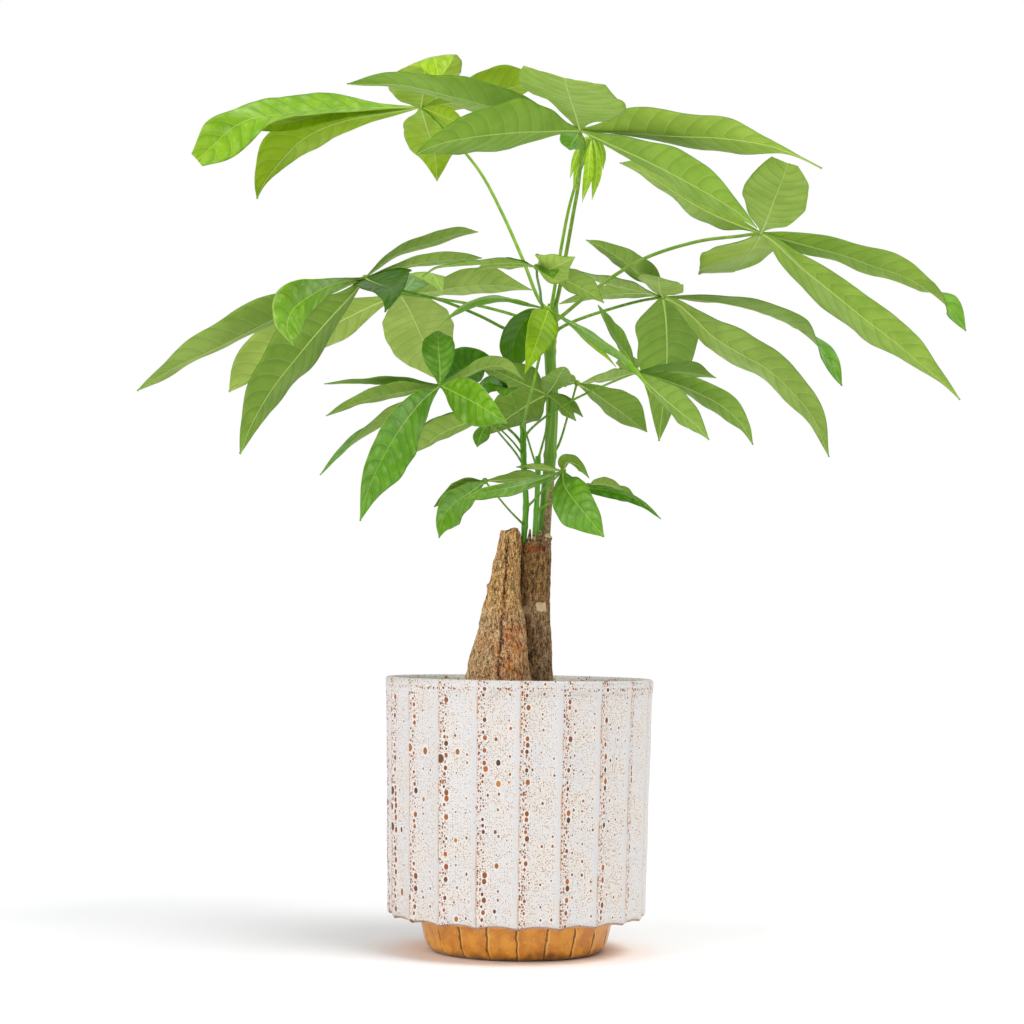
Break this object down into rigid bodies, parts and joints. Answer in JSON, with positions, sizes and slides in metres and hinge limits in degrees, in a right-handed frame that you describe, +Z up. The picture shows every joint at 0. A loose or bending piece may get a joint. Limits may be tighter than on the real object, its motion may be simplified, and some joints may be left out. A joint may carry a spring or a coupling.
{
  "type": "potted plant",
  "caption": "Potted money tree: bare leaning trunks with long-stalked, hand-shaped green leaves, in a fluted speckled stoneware planter on an amber foot.",
  "frame": {"origin": "middle of the planter's flat underside, on the surface it stands on", "axes": "+Z up along the planter's axis; the front as pictured looks along -Y, and +X is to its right"},
  "size_m": [0.4955, 0.343, 0.5458],
  "materials": {
    "planter_glaze": "satin",
    "soil": "rough",
    "bark_tan": "rough",
    "bark_brown": "rough",
    "green_stem": "satin",
    "crown_leaf": "satin",
    "green_leaf": "satin",
    "young_leaf": "satin"
  },
  "bodies": {
    "root": {"planter": "planter_glaze", "soil": "soil", "trunk_left": "bark_tan", "trunk_right": "bark_brown", "stem_main": "green_stem", "stem_left": "green_stem", "stem_middle": "green_stem", "leaf_crown_front": "crown_leaf", "leaf_crown_young": "young_leaf", "leaf_crown_right": "crown_leaf", "leaf_crown_left": "crown_leaf", "leaf_inner_front": "green_leaf", "leaf_right_back": "green_leaf", "leaf_right_front": "green_leaf", "leaf_right_small": "green_leaf", "leaf_inner_low": "green_leaf", "leaf_bright_young": "young_leaf", "leaf_left_front": "green_leaf", "leaf_left_back": "green_leaf", "leaf_left_low": "green_leaf", "leaf_left_small": "green_leaf", "leaf_left_tiny": "green_leaf", "leaf_inner_dark": "green_leaf", "leaf_base_left": "green_leaf", "leaf_base_right": "green_leaf", "leaf_base_small": "green_leaf"}
  },
  "joints": []
}
